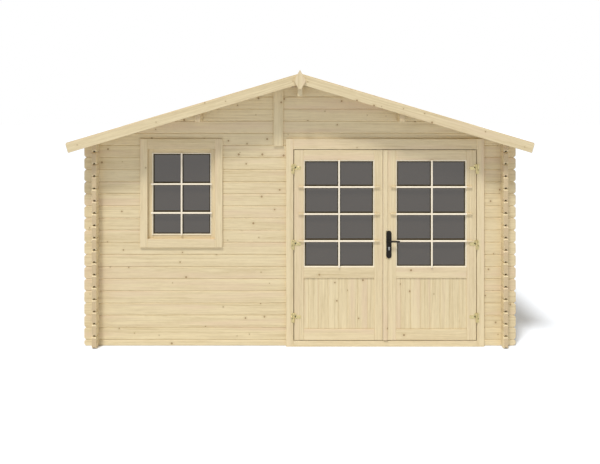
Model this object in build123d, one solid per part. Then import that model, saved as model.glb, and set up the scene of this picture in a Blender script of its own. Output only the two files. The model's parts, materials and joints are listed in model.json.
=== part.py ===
from build123d import *
import math
import os

# A garden shed of interlocking spruce logs under a shallow gable roof, with a
# fixed window left of a glazed double door that opens outwards.
# Millimetres. +Z is up, the front faces -Y, +X is to the right seen from the
# front, and the origin lies on the ground in the middle of the plan.

# Logs and walls
log_pitch = 114.0  # height of one laid log
log_thickness = 44.0
log_groove = 6.0  # bevel of each long edge, two of them make the joint's V
front_log_length = 4050.0
side_log_length = 3050.0
log_end_length = 95.0  # how far a log runs past the wall that it crosses
end_notch_depth = 20.0  # bevel of a log's end at its top and bottom edges
end_notch_height = 15.0
side_wall_logs = 17
top_log_rise = 18.0  # the top side log is this much higher than the others

# Roof
roof_angle = 16.55
roof_board_thickness = 19.0
gable_overhang = 200.0  # past the gable walls' outer faces
eave_overhang = 207.0  # past the side walls' outer faces
purlin_width = 45.0
purlin_least_depth = 125.0  # a purlin rests on the next joint under this depth
side_purlin_place = 933.0
eave_strip_width = 45.0
eave_strip_thickness = 20.0
bargeboard_width = 87.0
bargeboard_thickness = 20.0
bargeboard_drop = 8.0  # its top edge lies this far under the roof boards' top
finial_height = 200.0
finial_width = 110.0
finial_thickness = 20.0
finial_rise = 31.0  # tip above the roof's apex
finial_foot_width = 26.0
cover_board_width = 92.0
cover_board_thickness = 16.0
cover_board_gap = 27.0  # beside the door's frame
cover_board_lap = 68.0  # down beside the frame's top

# Window
window_edge_distance = 387.0  # from the left wall's inside to the trim
window_clear_width = 634.0
window_hole_height = 912.0  # taken to the nearest joint
opening_head_drop = 75.0  # openings end at the joint nearest to this, under the side walls' top
window_lining = 26.0
window_sill_lining = 35.0
window_head_lining = 36.0
window_trim_width = 70.0
window_trim_top = 98.0
window_trim_bottom = 79.0
window_trim_thickness = 16.0
inside_trim_thickness = 20.0
sash_recess = 20.0  # the sash's face behind the wall's outer face
sash_thickness = 30.0
sash_stile = 48.0
sash_top_rail = 45.0
sash_bottom_rail = 42.0
pane_thickness = 4.0

# Door frame
door_edge_distance = 163.0  # from the right wall's inside to the trim
door_clear_width = 1714.0
door_lining = 39.0
door_head_lining = 37.0
door_trim_width = 70.0
door_trim_top = 99.0
door_trim_thickness = 28.0
door_stop_width = 15.0
door_stop_gap = 5.0
threshold_height = 55.0

# Door leaves
leaf_thickness = 40.0
leaf_gap = 6.0  # round a leaf, to the posts, the head and the threshold
meeting_gap = 8.0
meeting_offset = -19.0  # the meeting line's place beside the door's middle
hinge_stile_width = 86.0
left_meeting_stile_width = 74.0
right_meeting_stile_width = 112.0
top_rail_width = 90.0
middle_rail_width = 95.0
bottom_rail_width = 102.0
panel_height = 479.0
panel_thickness = 20.0
panel_recess = 8.0
bead_width = 15.0
bead_recess = 4.0
meeting_strip_width = 39.0
meeting_strip_thickness = 12.0

# Hinges
bottom_hinge_rise = 209.0  # from the leaf's foot
middle_hinge_rise = 891.0
top_hinge_drop = 177.0  # from the leaf's top
knuckle_radius = 7.0
knuckle_length = 44.0
knuckle_gap = 0.5
hinge_plate_thickness = 3.0
hinge_plate_height = 40.0
hinge_post_plate_width = 22.0
hinge_leaf_plate_width = 70.0
plate_knuckle_gap = 1.0

# Handle and lock
handle_backset = 50.0  # from the right leaf's free edge
handle_rise = 927.0  # from the leaf's foot
spindle_radius = 8.0
spindle_clearance = 0.3
lever_reach = 100.0
lever_depth = 14.0
lever_thickness = 12.0
lever_stand_off = 34.0  # from the plate to the lever
lock_plate_drop = 33.0  # the plates' middle under the lever's line
lock_plate_height = 258.0
lock_plate_width = 48.0
lock_plate_thickness = 8.0
cylinder_drop = 62.0  # the lock cylinder's round part under the lever's line
cylinder_radius = 8.5
cylinder_height = 33.0
cylinder_web_width = 10.0
cylinder_stand_out = 4.0
notch_clearance = 2.0

# Floor
bearer_height = 40.0
bearer_width = 60.0
bearer_count = 5
bearer_edge_distance = 86.0  # first bearer's middle from the wall's inner face
floor_board_thickness = 19.0
floor_edge_gap = 24.0

# How far a cutting tool runs past what it cuts
cut_margin = 1.0

# Places worked out from the sizes above
wall_face = -(side_log_length / 2 - log_end_length)
wall_back = wall_face + log_thickness
gable_wall_middle = wall_face + log_thickness / 2
side_wall_middle = front_log_length / 2 - log_end_length - log_thickness / 2
side_wall_inside = side_wall_middle - log_thickness / 2
side_wall_outside = side_wall_middle + log_thickness / 2
side_wall_top = log_pitch * side_wall_logs + top_log_rise
roof_slope = math.radians(roof_angle)
roof_underside_apex = side_wall_top + math.tan(roof_slope) * side_wall_outside
roof_apex = roof_underside_apex + roof_board_thickness / math.cos(roof_slope)
roof_half_span = side_wall_outside + eave_overhang
roof_end = wall_face - gable_overhang
slope_length = roof_half_span / math.cos(roof_slope)
above_roof = roof_apex + log_pitch
past_face = log_thickness

door_right = side_wall_inside - door_edge_distance - door_trim_width
door_left = door_right - door_clear_width
door_place = (door_left + door_right) / 2
door_face = wall_face - door_trim_thickness


def block(x_low, x_high, y_low, y_high, z_low, z_high):
    """A box between two corners."""
    middle = Pos((x_low + x_high) / 2, (y_low + y_high) / 2, (z_low + z_high) / 2)
    return middle * Box(x_high - x_low, y_high - y_low, z_high - z_low)


def prism(points, direction, length):
    """A flat outline of space points pushed along a direction."""
    return extrude(Face(Wire.make_polygon(points)), amount=length, dir=direction)


def prism_along_x(outline, x_low, x_high):
    """An outline of (y, z) points between two places along X."""
    return prism([(x_low, y, z) for y, z in outline], (1, 0, 0), x_high - x_low)


def prism_along_y(outline, y_low, y_high):
    """An outline of (x, z) points between two places along Y."""
    return prism([(x, y_low, z) for x, z in outline], (0, 1, 0), y_high - y_low)


def prism_along_z(outline, z_low, z_high):
    """An outline of (x, y) points between two heights."""
    return prism([(x, y, z_low) for x, y in outline], (0, 0, 1), z_high - z_low)


def ring(outer, inner, y_low, y_high):
    """A rectangular frame; outer and inner are (x_low, x_high, z_low, z_high)."""
    whole = block(outer[0], outer[1], y_low, y_high, outer[2], outer[3])
    hole = block(inner[0], inner[1], y_low - cut_margin, y_high + cut_margin, inner[2], inner[3])
    return whole - hole


def mirrored(solid):
    """The same piece on the other side of the middle plane X = 0."""
    return mirror(solid, about=Plane.YZ)


def behind(solid):
    """The same piece on the other side of the middle plane Y = 0."""
    return mirror(solid, about=Plane.XZ)


# Joint heights. The front and back walls start with a half log, so that their
# joints fall at the middle of the side walls' logs.
def front_joint(index):
    return log_pitch / 2 + log_pitch * index


def joint_near(height):
    """The front wall's joint that lies nearest to a height."""
    return front_joint(round((height - log_pitch / 2) / log_pitch))


def joint_under(height):
    """The front wall's highest joint up to a height."""
    return front_joint(math.floor((height - log_pitch / 2) / log_pitch))


def roof_underside(x):
    return roof_underside_apex - math.tan(roof_slope) * abs(x)


side_joints = [log_pitch * index for index in range(1, side_wall_logs)]
front_joints = [front_joint(0)]
while front_joints[-1] + log_pitch < roof_underside_apex:
    front_joints.append(front_joint(len(front_joints)))
opening_head = joint_near(side_wall_top - opening_head_drop)
window_sill = joint_near(opening_head - window_hole_height)
ridge_purlin_seat = joint_under(roof_underside(0) - purlin_least_depth)
side_purlin_seat = joint_under(roof_underside(side_purlin_place) - purlin_least_depth)


def roof_point(along, depth):
    """A point of the right slope: distance down the slope, depth under its top."""
    x = along * math.cos(roof_slope) - depth * math.sin(roof_slope)
    z = roof_apex - along * math.sin(roof_slope) - depth * math.cos(roof_slope)
    return (x, z)


def slope_band(depth_low, depth_high):
    """Outline of a layer of the right slope from the ridge to the eave's end."""
    tangent = math.tan(roof_slope)
    return [
        roof_point(depth_low * tangent, depth_low),
        roof_point(slope_length, depth_low),
        roof_point(slope_length, depth_high),
        roof_point(depth_high * tangent, depth_high),
    ]


def under_roof():
    """Everything between the ground and the underside of the roof boards."""
    reach = roof_half_span
    outline = [
        (-reach, 0),
        (reach, 0),
        (reach, roof_underside(reach)),
        (0, roof_underside_apex),
        (-reach, roof_underside(reach)),
    ]
    return prism_along_y(outline, roof_end, -roof_end)


# Log walls. Each is drawn along X about Y = 0 and then set in its place.
def log_section(z_low, z_high, joints):
    """Outline of stacked logs, with a V groove in both faces at every joint."""
    face = log_thickness / 2
    side = [(face, z_low)]
    if z_low in joints:
        side = [(face - log_groove, z_low), (face, z_low + log_groove)]
    for joint in joints:
        if z_low < joint < z_high:
            side += [(face, joint - log_groove), (face - log_groove, joint), (face, joint + log_groove)]
    if z_high in joints:
        side += [(face, z_high - log_groove), (face - log_groove, z_high)]
    else:
        side += [(face, z_high)]
    return side + [(-y, z) for y, z in reversed(side)]


def end_notches(x_end, out, z_low, z_high, joints):
    """What the bevels take off free log ends at every joint; out is 1 or -1."""
    past_end = end_notch_depth
    mouth = end_notch_height * (end_notch_depth + past_end) / end_notch_depth
    notches = []
    for joint in joints:
        if z_low <= joint <= z_high:
            outline = [
                (x_end - out * end_notch_depth, joint),
                (x_end + out * past_end, joint + mouth),
                (x_end + out * past_end, joint - mouth),
            ]
            notches.append(prism_along_y(outline, -past_face, past_face))
    return notches


def log_wall(x_low, x_high, z_low, z_high, joints, free_ends):
    """A stack of logs; free_ends lists the ends (-1, 1) that stand past a corner."""
    wall = prism_along_x(log_section(z_low, z_high, joints), x_low, x_high)
    for out in free_ends:
        x_end = x_high if out > 0 else x_low
        wall -= end_notches(x_end, out, z_low, z_high, joints)
    return wall


# Corner joints. In the square where two walls cross, every log keeps only the
# middle half of its height, so the side logs fill the gaps of the front logs.
def side_log_necks():
    """Height ranges that the side logs hold in a corner's square."""
    quarter = log_pitch / 4
    joints = [index * log_pitch for index in range(side_wall_logs)]
    return [(joint + quarter, joint + log_pitch - quarter) for joint in joints]


def gable_log_necks():
    """Height ranges that the front and back logs hold in a corner's square."""
    necks = side_log_necks()
    bottoms = [-cut_margin] + [high for low, high in necks]
    tops = [low for low, high in necks] + [above_roof]
    return list(zip(bottoms, tops))


def corner_cutters(place, ranges):
    """Boxes across a wall drawn along X, where the crossing wall passes it."""
    half = log_thickness / 2
    return [block(place - half, place + half, -past_face, past_face, low, high) for low, high in ranges]


def purlin_slots():
    """Boxes that the purlins fill where they pass a gable wall."""
    half = purlin_width / 2
    slots = [block(-half, half, -past_face, past_face, ridge_purlin_seat, above_roof)]
    for place in (-side_purlin_place, side_purlin_place):
        slots.append(block(place - half, place + half, -past_face, past_face, side_purlin_seat, above_roof))
    return slots


def gable_wall_piece(x_low, x_high, z_low, z_high, free_ends):
    """One piece of the front wall, standing in its place."""
    wall = log_wall(x_low, x_high, z_low, z_high, front_joints, free_ends)
    for out in free_ends:
        wall -= corner_cutters(out * side_wall_middle, side_log_necks())
    return Pos(0, gable_wall_middle, 0) * wall


def gable_piece():
    """The front wall's logs from the window's head up to the roof."""
    half = front_log_length / 2
    wall = log_wall(-half, half, opening_head, roof_apex, front_joints, (-1, 1))
    wall -= purlin_slots()
    for out in (-1, 1):
        wall -= corner_cutters(out * side_wall_middle, side_log_necks())
    return (Pos(0, gable_wall_middle, 0) * wall) & under_roof()


def side_wall():
    """The right wall, from the ground to the roof."""
    half = side_log_length / 2
    wall = log_wall(-half, half, 0, roof_apex, side_joints, (-1, 1))
    for place in (gable_wall_middle, -gable_wall_middle):
        wall -= corner_cutters(place, gable_log_necks())
    return (Pos(side_wall_middle, 0, 0) * Rot(0, 0, 90) * wall) & under_roof()


def make_walls():
    half = front_log_length / 2
    hole_left = window_left - window_lining
    hole_right = window_left + window_clear_width + window_lining
    door_hole_left = door_left - door_lining
    door_hole_right = door_right + door_lining
    right_wall = side_wall()
    gable = gable_piece()
    return {
        "front_wall_low": gable_wall_piece(-half, door_hole_left, 0, window_sill, (-1,)),
        "front_wall_left": gable_wall_piece(-half, hole_left, window_sill, opening_head, (-1,)),
        "front_wall_middle": gable_wall_piece(hole_right, door_hole_left, window_sill, opening_head, ()),
        "front_wall_right": gable_wall_piece(door_hole_right, half, 0, opening_head, (1,)),
        "front_gable": gable,
        "back_wall": behind(gable_wall_piece(-half, half, 0, opening_head, (-1, 1))),
        "back_gable": behind(gable),
        "right_wall": right_wall,
        "left_wall": mirrored(right_wall),
    }


# Roof
def purlin(place, seat):
    half = purlin_width / 2
    beam = block(place - half, place + half, roof_end, -roof_end, seat, above_roof)
    return beam & under_roof()


def finial():
    """The flat rhombus over the bargeboards' joint, with a blunt foot."""
    tip = roof_apex + finial_rise
    half_height = finial_height / 2
    half_width = finial_width / 2
    foot_half = finial_foot_width / 2
    foot = tip - finial_height + half_height * foot_half / half_width
    outline = [
        (0, tip),
        (half_width, tip - half_height),
        (foot_half, foot),
        (-foot_half, foot),
        (-half_width, tip - half_height),
    ]
    front = roof_end - bargeboard_thickness
    return prism_along_y(outline, front - finial_thickness, front)


def cover_board(purlins):
    """The upright board on the front gable, cut to the roof and round any purlin."""
    edge = door_left - door_trim_width - cover_board_gap
    foot = door_clear_top + door_trim_top - cover_board_lap
    board = block(
        edge - cover_board_width, edge, wall_face - cover_board_thickness, wall_face, foot, above_roof
    )
    return (board & under_roof()) - purlins


def make_roof():
    slope = prism_along_y(slope_band(0, roof_board_thickness), roof_end, -roof_end)
    barge_band = slope_band(bargeboard_drop, bargeboard_drop + bargeboard_width)
    bargeboard = prism_along_y(barge_band, roof_end - bargeboard_thickness, roof_end)
    strip_outline = [
        roof_point(slope_length, roof_board_thickness),
        roof_point(slope_length, roof_board_thickness + eave_strip_width),
        roof_point(slope_length - eave_strip_thickness, roof_board_thickness + eave_strip_width),
        roof_point(slope_length - eave_strip_thickness, roof_board_thickness),
    ]
    eave_strip = prism_along_y(strip_outline, roof_end, -roof_end)
    ridge_beam = purlin(0, ridge_purlin_seat)
    side_beam = purlin(side_purlin_place, side_purlin_seat)
    side_beams = [side_beam, mirrored(side_beam)]
    front_finial = finial()
    return {
        "ridge_purlin": ridge_beam,
        "side_purlins": Compound(side_beams),
        "roof_right": slope,
        "roof_left": mirrored(slope),
        "eave_strips": Compound([eave_strip, mirrored(eave_strip)]),
        "front_right_bargeboard": bargeboard,
        "front_left_bargeboard": mirrored(bargeboard),
        "back_right_bargeboard": behind(bargeboard),
        "back_left_bargeboard": behind(mirrored(bargeboard)),
        "finials": Compound([front_finial, behind(front_finial)]),
        "gable_cover_board": cover_board([ridge_beam, *side_beams]),
    }


# Window
window_left = -side_wall_inside + window_edge_distance + window_trim_width


def make_window():
    left = window_left
    right = window_left + window_clear_width
    low = window_sill + window_sill_lining
    high = opening_head - window_head_lining
    clear = (left, right, low, high)
    hole = (left - window_lining, right + window_lining, window_sill, opening_head)
    trim_edge = (
        left - window_trim_width,
        right + window_trim_width,
        low - window_trim_bottom,
        high + window_trim_top,
    )
    glass = (left + sash_stile, right - sash_stile, low + sash_bottom_rail, high - sash_top_rail)
    sash_face = wall_face + sash_recess
    pane_face = sash_face + (sash_thickness - pane_thickness) / 2
    lining = ring(hole, clear, wall_face, wall_back + inside_trim_thickness)
    inside_trim = ring(trim_edge, clear, wall_back, wall_back + inside_trim_thickness)
    return {
        "window_trim": ring(trim_edge, clear, wall_face - window_trim_thickness, wall_face),
        "window_casing": lining + inside_trim,
        "window_sash": ring(clear, glass, sash_face, sash_face + sash_thickness),
        "window_glass": block(*glass[:2], pane_face, pane_face + pane_thickness, *glass[2:]),
    }


# Door frame
door_clear_top = opening_head - door_head_lining
stop_face = door_face + leaf_thickness + door_stop_gap
frame_back = wall_back + inside_trim_thickness


def door_post():
    """The left post: it grips the logs' ends between an outer and an inner board."""
    outline = [
        (door_left - door_trim_width, door_face),
        (door_left, door_face),
        (door_left, stop_face),
        (door_left + door_stop_width, stop_face),
        (door_left + door_stop_width, frame_back),
        (door_left - door_trim_width, frame_back),
        (door_left - door_trim_width, wall_back),
        (door_left - door_lining, wall_back),
        (door_left - door_lining, wall_face),
        (door_left - door_trim_width, wall_face),
    ]
    post_top = door_clear_top + door_trim_top
    post = prism_along_z(outline, 0, post_top)
    logs_above = block(
        door_left - door_trim_width - cut_margin,
        door_left + door_stop_width + cut_margin,
        wall_face,
        wall_back,
        opening_head,
        post_top + cut_margin,
    )
    return post - logs_above


def door_head():
    """The head between the posts, with the same grip on the log above it."""
    trim_top = door_clear_top + door_trim_top
    outline = [
        (door_face, trim_top),
        (door_face, door_clear_top),
        (stop_face, door_clear_top),
        (stop_face, door_clear_top - door_stop_width),
        (frame_back, door_clear_top - door_stop_width),
        (frame_back, trim_top),
        (wall_back, trim_top),
        (wall_back, opening_head),
        (wall_face, opening_head),
        (wall_face, trim_top),
    ]
    return prism_along_x(outline, door_left, door_right)


def door_threshold():
    """The low timber sill, with a step behind the leaves."""
    outline = [
        (door_face, 0),
        (frame_back, 0),
        (frame_back, threshold_height + door_stop_width),
        (stop_face, threshold_height + door_stop_width),
        (stop_face, threshold_height),
        (door_face, threshold_height),
    ]
    return prism_along_x(outline, door_left, door_right)


def make_door_frame():
    left_post = door_post()
    right_post = Pos(2 * door_place, 0, 0) * mirrored(left_post)
    posts = [left_post, right_post]
    return {
        "door_post_left": left_post,
        "door_post_right": right_post,
        "door_head": door_head() - posts,
        "door_threshold": door_threshold() - posts,
    }


# Door leaves
leaf_low = threshold_height + leaf_gap
leaf_high = door_clear_top - leaf_gap
leaf_back = door_face + leaf_thickness
meeting_line = door_place + meeting_offset
left_leaf = (door_left + leaf_gap, meeting_line - meeting_gap / 2)
right_leaf = (meeting_line + meeting_gap / 2, door_right - leaf_gap)
panel_low = leaf_low + bottom_rail_width
panel_high = panel_low + panel_height
glazing_low = panel_high + middle_rail_width
glazing_high = leaf_high - top_rail_width


def leaf_pieces(leaf, left_stile, right_stile):
    """Frame, lower panel and pane of a leaf that spans two places along X."""
    through = (door_face - cut_margin, leaf_back + cut_margin)
    opening = (leaf[0] + left_stile, leaf[1] - right_stile)
    glass_x = (opening[0] + bead_width, opening[1] - bead_width)
    glass_z = (glazing_low + bead_width, glazing_high - bead_width)
    frame = block(*leaf, door_face, leaf_back, leaf_low, leaf_high)
    frame -= block(*opening, *through, panel_low, panel_high)
    frame -= block(*glass_x, *through, *glass_z)
    frame -= block(*opening, door_face - cut_margin, door_face + bead_recess, glazing_low, glazing_high)
    panel_face = door_face + panel_recess
    panel = block(*opening, panel_face, panel_face + panel_thickness, panel_low, panel_high)
    pane_face = door_face + (leaf_thickness - pane_thickness) / 2
    pane = block(*glass_x, pane_face, pane_face + pane_thickness, *glass_z)
    return frame, panel, pane


def meeting_strip():
    """The strip on the right leaf's free edge, notched round the handle's plate."""
    front = door_face - meeting_strip_thickness
    edge = right_leaf[0]
    strip = block(edge, edge + meeting_strip_width, front, door_face, leaf_low, leaf_high)
    notch_half = lock_plate_height / 2 + notch_clearance
    notch = block(
        handle_place - lock_plate_width / 2 - notch_clearance,
        edge + meeting_strip_width + cut_margin,
        front - cut_margin,
        door_face + cut_margin,
        plate_middle - notch_half,
        plate_middle + notch_half,
    )
    return strip - notch


# Handle and lock
handle_place = right_leaf[0] + handle_backset
handle_height = leaf_low + handle_rise
plate_middle = handle_height - lock_plate_drop
plate_front = door_face - lock_plate_thickness
plate_back = leaf_back + lock_plate_thickness


def towards_front(flat, place, height, y_back, thickness):
    """A flat shape drawn in X and Z, pushed out towards the front from y_back."""
    return Pos(place, y_back, height) * Rot(90, 0, 0) * extrude(flat, amount=thickness)


def spindle(radius):
    """The round bar that joins the two levers, or with more radius its hole."""
    bar_back = plate_back + lever_stand_off
    length = bar_back - plate_front + lever_stand_off
    return towards_front(Circle(radius), handle_place, handle_height, bar_back, length)


def handle_plates():
    """The long plates with round ends, outside and inside."""
    outline = SlotOverall(lock_plate_height, lock_plate_width, rotation=90)
    hole = spindle(spindle_radius + spindle_clearance)
    plates = []
    for y_back in (door_face, plate_back):
        plate = towards_front(outline, handle_place, plate_middle, y_back, lock_plate_thickness)
        plates.append(plate - hole)
    return Compound(plates)


def lever_handle():
    """The outer and the inner lever on their common spindle."""
    length = lever_reach + lever_depth / 2
    grip = SlotOverall(length, lever_depth)
    middle = handle_place + lever_reach - length / 2
    handle = spindle(spindle_radius)
    for y_back in (plate_front - lever_stand_off + lever_thickness, plate_back + lever_stand_off):
        handle += towards_front(grip, middle, handle_height, y_back, lever_thickness)
    return handle


def lock_cylinder():
    """Both ends of the key cylinder: a round barrel over a narrow web."""
    web_height = cylinder_height - cylinder_radius - cylinder_web_width / 2
    web_foot = Pos(0, -web_height) * Circle(cylinder_web_width / 2)
    web = Pos(0, -web_height / 2) * Rectangle(cylinder_web_width, web_height)
    profile = Circle(cylinder_radius) + web + web_foot
    height = handle_height - cylinder_drop
    ends = []
    for y_back in (plate_front, plate_back + cylinder_stand_out):
        ends.append(towards_front(profile, handle_place, height, y_back, cylinder_stand_out))
    return Compound(ends)


# Hinges. The lower knuckle belongs to the post, the upper one to the leaf.
pin_line = door_face - knuckle_radius
left_pin = door_left + leaf_gap / 2
hinge_heights = (
    leaf_low + bottom_hinge_rise,
    leaf_low + middle_hinge_rise,
    leaf_high - top_hinge_drop,
)


def knuckle(z_low):
    return Pos(left_pin, pin_line, z_low + knuckle_length / 2) * Cylinder(knuckle_radius, knuckle_length)


def post_hinge(height):
    """The half that is screwed to the post, with its plate beside both knuckles."""
    low = height - knuckle_length
    plate_left = door_left - hinge_post_plate_width
    plate_right = left_pin - knuckle_radius - plate_knuckle_gap
    face = door_face - hinge_plate_thickness
    foot = block(plate_left, left_pin, face, door_face, low, low + hinge_plate_height)
    upper = block(plate_left, plate_right, face, door_face, low, height + knuckle_length)
    return knuckle(low) + foot + upper


def leaf_hinge(height):
    """The half that is screwed to the leaf."""
    low = height + knuckle_gap
    high = low + knuckle_length
    plate_right = left_leaf[0] + hinge_leaf_plate_width
    plate = block(
        left_pin, plate_right, door_face - hinge_plate_thickness, door_face, high - hinge_plate_height, high
    )
    return knuckle(low) + plate


def to_right_side(solid):
    """A door piece of the left side, mirrored about the door's middle."""
    return Pos(2 * door_place, 0, 0) * mirrored(solid)


def make_doors():
    left_stiles = hinge_stile_width, left_meeting_stile_width
    right_stiles = right_meeting_stile_width, hinge_stile_width
    left_frame, left_panel, left_pane = leaf_pieces(left_leaf, *left_stiles)
    right_frame, right_panel, right_pane = leaf_pieces(right_leaf, *right_stiles)
    spindle_hole = spindle(spindle_radius + spindle_clearance)
    post_hinges = [post_hinge(height) for height in hinge_heights]
    leaf_hinges = [leaf_hinge(height) for height in hinge_heights]
    return {
        "left_leaf_frame": left_frame,
        "left_leaf_panel": left_panel,
        "left_leaf_glass": left_pane,
        "right_leaf_frame": right_frame - spindle_hole,
        "right_leaf_panel": right_panel,
        "right_leaf_glass": right_pane,
        "meeting_strip": meeting_strip(),
        "left_post_hinges": Compound(post_hinges),
        "left_leaf_hinges": Compound(leaf_hinges),
        "right_post_hinges": Compound([to_right_side(hinge) for hinge in post_hinges]),
        "right_leaf_hinges": Compound([to_right_side(hinge) for hinge in leaf_hinges]),
        "handle_plates": handle_plates(),
        "lever_handle": lever_handle(),
        "lock_cylinder": lock_cylinder(),
    }


# Floor
def make_floor():
    first = wall_back + bearer_edge_distance
    step = -2 * first / (bearer_count - 1)
    half = bearer_width / 2
    bearers = []
    for index in range(bearer_count):
        y_low = first + step * index - half
        y_high = y_low + bearer_width
        bearers.append(block(-side_wall_inside, side_wall_inside, y_low, y_high, 0, bearer_height))
    edge_x = side_wall_inside - floor_edge_gap
    edge_y = -wall_back - floor_edge_gap
    boards = block(-edge_x, edge_x, -edge_y, edge_y, bearer_height, bearer_height + floor_board_thickness)
    return {"floor_bearers": Compound(bearers), "floor_boards": boards}


def main():
    os.makedirs("parts", exist_ok=True)
    pieces = {}
    for make in (make_walls, make_roof, make_window, make_door_frame, make_doors, make_floor):
        pieces.update(make())
    for name, solid in pieces.items():
        export_step(solid, f"parts/{name}.step")


main()
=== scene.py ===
import bpy
import bmesh
import json
import math
import random
from mathutils import Matrix, Vector


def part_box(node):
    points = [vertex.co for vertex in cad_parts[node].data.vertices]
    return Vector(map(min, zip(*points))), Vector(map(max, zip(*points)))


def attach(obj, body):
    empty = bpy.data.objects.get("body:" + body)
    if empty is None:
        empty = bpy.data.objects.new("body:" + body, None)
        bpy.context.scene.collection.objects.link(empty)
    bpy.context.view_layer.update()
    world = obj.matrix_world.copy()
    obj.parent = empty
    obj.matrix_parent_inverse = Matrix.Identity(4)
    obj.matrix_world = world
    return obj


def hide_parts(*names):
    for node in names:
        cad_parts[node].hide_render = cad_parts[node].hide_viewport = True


# The looks of a log garden shed. Every log, board, bar and fitting has its real size
# in metres, and its grain runs the way that the timber lies.
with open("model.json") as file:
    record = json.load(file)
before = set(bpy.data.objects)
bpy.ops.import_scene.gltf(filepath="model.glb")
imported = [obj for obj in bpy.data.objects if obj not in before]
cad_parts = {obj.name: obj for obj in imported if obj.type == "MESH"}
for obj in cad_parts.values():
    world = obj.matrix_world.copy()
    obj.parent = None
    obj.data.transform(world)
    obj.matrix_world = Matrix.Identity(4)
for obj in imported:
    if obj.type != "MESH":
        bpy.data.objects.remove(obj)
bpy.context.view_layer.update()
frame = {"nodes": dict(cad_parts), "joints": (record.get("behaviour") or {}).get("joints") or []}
scene = bpy.context.scene

# Logs
LOG_PITCH = 0.114
LOG_THICKNESS = 0.044
LOG_BEVEL = 0.006
END_DEPTH = 0.020  # how far a log's free end is rounded, along the log
END_RISE = 0.015  # what the rounding takes off its top and bottom
END_SIDE = 0.003  # and off its two sides, in the last part of the rounding
END_SIDE_START = 0.7
END_STEPS = ((0.0, 0.0), (0.25, 0.13), (0.5, 0.36), (0.75, 0.66), (0.9, 0.87), (1.0, 1.0))
GROOVE_HALF = 0.0095  # half the width of the groove and of the tongue's gap
GROOVE_DEPTH = 0.012
TONGUE_GAP = 0.003
LEAST_DEPTH = 0.0004  # a bevel, groove or gap that doesn't show

# Boards
BOARD_EDGE = 0.0025
END_EDGE_SHARE = 0.2
ROOF_BOARD = 0.088
ROOF_THICKNESS = 0.019
ROOF_SLOPE = math.radians(16.55)
BARGE_DROP = 0.008
BARGE_WIDTH = 0.087
BARGE_THICKNESS = 0.020
EAVE_THICKNESS = 0.020
EAVE_DEPTH = 0.045
FINIAL_HEIGHT = 0.200
FINIAL_HALF = 0.055
FINIAL_FOOT_HALF = 0.013
FINIAL_THICKNESS = 0.020
FLOOR_BOARD = 0.092
FLOOR_EDGE = 0.0015
BEARERS = 5
BEARER_WIDTH = 0.060
PANEL_BOARD = 0.092
PANEL_FIRST_BOARD = 0.0495
PANEL_EDGE = 0.003

# How far past the roof's underside, which cuts them, the top timbers are drawn
TOP_LOG_SPARE = 0.002
PURLIN_SPARE = 0.05

# Panes, bars and beads. A bead's points are how far in from its edge, and how proud or deep.
BAR_WIDTH = 0.0155
BAR_DEPTH = 0.014
BAR_EDGE = 0.002
SEAL_WIDTH = 0.010
SEAL_PROUD = 0.0015
SEAL_EDGE = 0.0004
BEDDING_SIDE = 0.006  # how far the dark bedding shows beside, above and below a bar
BEDDING_ABOVE = 0.012
BEDDING_BELOW = 0.008
WINDOW_BARS = (1.516, 1.245)
WINDOW_BAR_ENDS = (0.018, 0.010)  # how far the bars run past the pane, sideways and upright
WINDOW_BEAD = ((-0.011, 0), (-0.008, 0.006), (-0.003, 0.006), (0, 0.003), (0, 0))
WINDOW_BEAD_PROUD = 0.006
LEAF_BARS = (1.4926, 1.2406, 0.9886)
LEAF_BAR_ENDS = 0.012
LEAF_BEAD_WIDTH = 0.011
LEAF_BEAD = ((0, 0.001), (0.004, 0.001), (0.008, 0.005), (LEAF_BEAD_WIDTH, 0.009))

# The door frame's rebate and the strips where the leaves meet
STOP_BACK = 0.045
DOOR_STOP = 0.015
STRIP_EDGE = 0.0025
STRIP_WIDE_EDGE = 0.005
STRIP_CLEARANCE = 0.002
# A pale strip in the gap between the leaves. Its paleness is painted light over the gap's shade
PALE_GAP_REACH = 0.006
PALE_GAP_DEPTHS = (0.001, 0.016)
PALE_GAP_EDGE = 0.001

# Hinges. A half is its knuckle's foot over the hinge's middle, its plates (near and far from
# the pin, low, high), its round bars (low, high, radius) and its screws (from the pin, height).
HINGE_THICKNESS = 0.003
HINGE_CORNER = 0.005
HINGE_EDGE = 0.0012
KNUCKLE_RADIUS = 0.007
KNUCKLE_LENGTH = 0.044
KNUCKLE_GAP = 0.0005
PIN_TOP = KNUCKLE_LENGTH + 0.004
PIN_TOP_RADIUS = 0.0045
POST_HALF = (
    -KNUCKLE_LENGTH,
    ((-0.024, -0.001, 0, 0.040), (-0.0245, -0.009, 0.030, 2 * KNUCKLE_LENGTH)),
    ((0, KNUCKLE_LENGTH - 0.0002, KNUCKLE_RADIUS),),
    ((-0.0165, 0.010), (-0.0165, 0.052), (-0.0165, 0.076)),
)
LEAF_HALF = (
    KNUCKLE_GAP,
    ((0.001, 0.024, 0.004, KNUCKLE_LENGTH - 0.004), (0.0095, 0.066, -0.008, 0.022)),
    ((0, KNUCKLE_LENGTH, KNUCKLE_RADIUS), (KNUCKLE_LENGTH, PIN_TOP, PIN_TOP_RADIUS)),
    ((0.022, 0.007), (0.038, 0.007), (0.056, 0.007)),
)

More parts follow.
